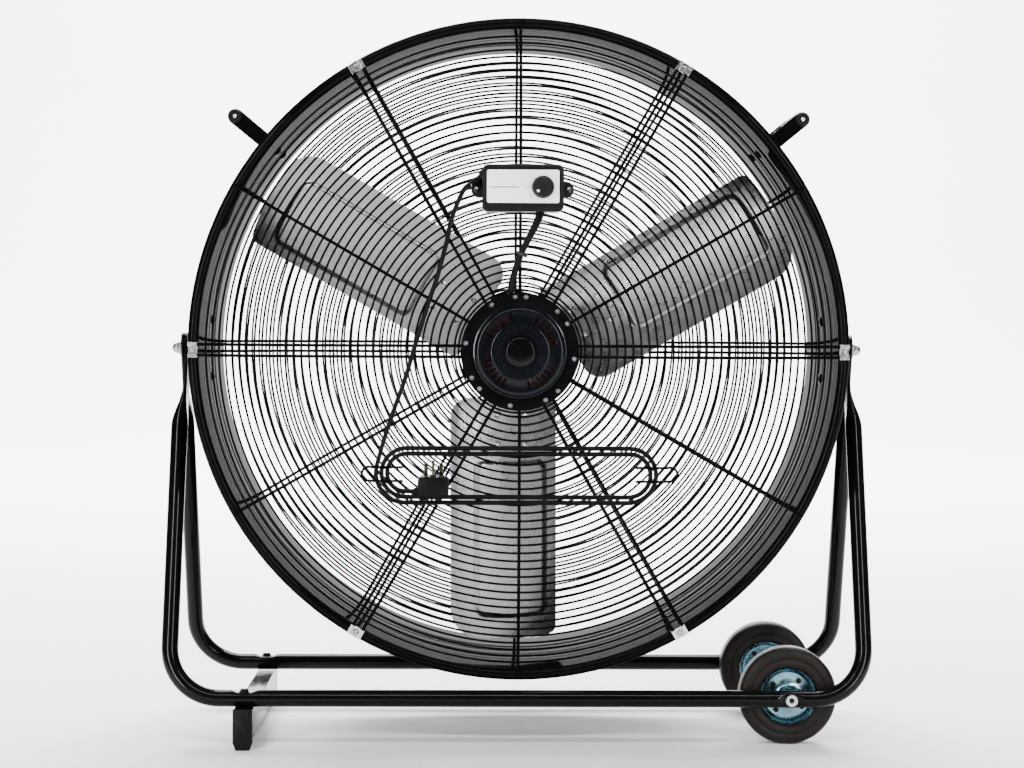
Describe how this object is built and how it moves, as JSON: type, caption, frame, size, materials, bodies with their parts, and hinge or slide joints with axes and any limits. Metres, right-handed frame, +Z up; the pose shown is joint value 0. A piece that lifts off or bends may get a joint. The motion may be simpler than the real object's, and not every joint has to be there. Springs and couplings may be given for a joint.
{
  "type": "drum fan",
  "caption": "Portable drum fan: guarded steel drum with motor and pressed blades, tilting on a bent tube stand with wheels and a foot bar.",
  "frame": {"origin": "on the floor under the middle of the bounding box, cord, hank and plug left out", "axes": "+X to the right seen from the air inlet, the side with the wheels; +Y the way the air blows, away from the control box; +Z up"},
  "size_m": [1.067, 0.4668, 1.0775],
  "materials": {
    "gloss_black": "gloss black powder coat",
    "wire_black": "gloss black dip-coated steel wire",
    "satin_black": "satin black moulded plastic",
    "motor_black": "satin black paint on cast aluminium",
    "zinc": "bright zinc plate",
    "blue_zinc": "blue passivated zinc plate",
    "bare_steel": "plain machined steel",
    "sheet_aluminium": "mill-finish pressed sheet",
    "copper": "varnished copper winding",
    "tyre_rubber": "black moulded rubber",
    "cord_black": "black flexible cord sheath",
    "silver_plate": "bare silver-white dial plate",
    "capacitor_grey": "light grey plastic can",
    "tie_grey": "grey plastic tie"
  },
  "bodies": {
    "stand": {"rear_base_frame": "gloss_black", "front_base_frame": "gloss_black", "foot_bar": "gloss_black", "rear_foot_cap": "satin_black", "front_foot_cap": "satin_black", "rear_foot_bolt": "gloss_black", "front_foot_bolt": "gloss_black", "wheel_axle": "zinc", "axle_nut": "zinc", "left_pivot_bolt": "zinc", "right_pivot_bolt": "zinc", "left_dome_nut": "bare_steel", "right_dome_nut": "bare_steel"},
    "rear_wheel": {"rear_wheel_tyre": "tyre_rubber", "rear_wheel_rim": "blue_zinc", "rear_wheel_bush": "bare_steel"},
    "front_wheel": {"front_wheel_tyre": "tyre_rubber", "front_wheel_rim": "blue_zinc", "front_wheel_bush": "bare_steel"},
    "drum": {"drum_shell": "gloss_black", "rear_guard": "wire_black", "front_guard": "wire_black", "rear_clip_1": "zinc", "rear_clip_2": "zinc", "rear_clip_3": "zinc", "rear_clip_4": "zinc", "rear_clip_5": "zinc", "rear_clip_6": "zinc", "left_pivot_bracket": "gloss_black", "right_pivot_bracket": "gloss_black", "left_handle_bracket": "gloss_black", "left_handle_grip": "satin_black", "right_handle_bracket": "gloss_black", "right_handle_grip": "satin_black", "motor_flange": "gloss_black", "motor_rear_bell": "motor_black", "motor_front_bell": "motor_black", "stator_winding": "copper", "rear_bearing": "bare_steel", "front_bearing": "bare_steel", "bearing_cap": "gloss_black", "control_box": "satin_black", "control_box_lid": "satin_black", "face_plate": "silver_plate", "rotary_switch": "satin_black", "run_capacitor": "capacitor_grey", "cord_gland": "cord_black", "power_cord": "cord_black", "cord_hank": "cord_black", "mains_plug": "cord_black", "left_cord_hook": "wire_black", "right_cord_hook": "wire_black", "motor_lead": "cord_black", "lead_tie": "tie_grey"},
    "fan": {"rotor_shaft": "bare_steel", "blade_spider": "bare_steel", "blade_1": "sheet_aluminium", "blade_2": "sheet_aluminium", "blade_3": "sheet_aluminium"},
    "knob": {"speed_knob": "satin_black"}
  },
  "joints": [
    {"name": "drum_tilt", "type": "hinge", "parent": "stand", "child": "drum", "pos_m": [0, 0.03095, 0.588], "axis": [1, 0, 0], "range_deg": [-90, 90]},
    {"name": "fan_spin", "type": "hinge", "parent": "drum", "child": "fan", "pos_m": [0, 0.03095, 0.588], "axis": [0, 1, 0], "continuous": true},
    {"name": "speed_knob", "type": "hinge", "parent": "drum", "child": "knob", "pos_m": [0.0309, -0.21905, 0.8233], "axis": [0, 1, 0], "range_deg": [0, 82]},
    {"name": "rear_wheel_spin", "type": "hinge", "parent": "stand", "child": "rear_wheel", "pos_m": [0.405, -0.08805, 0.073], "axis": [0, 1, 0], "continuous": true},
    {"name": "front_wheel_spin", "type": "hinge", "parent": "stand", "child": "front_wheel", "pos_m": [0.405, 0.14995, 0.073], "axis": [0, 1, 0], "continuous": true}
  ]
}
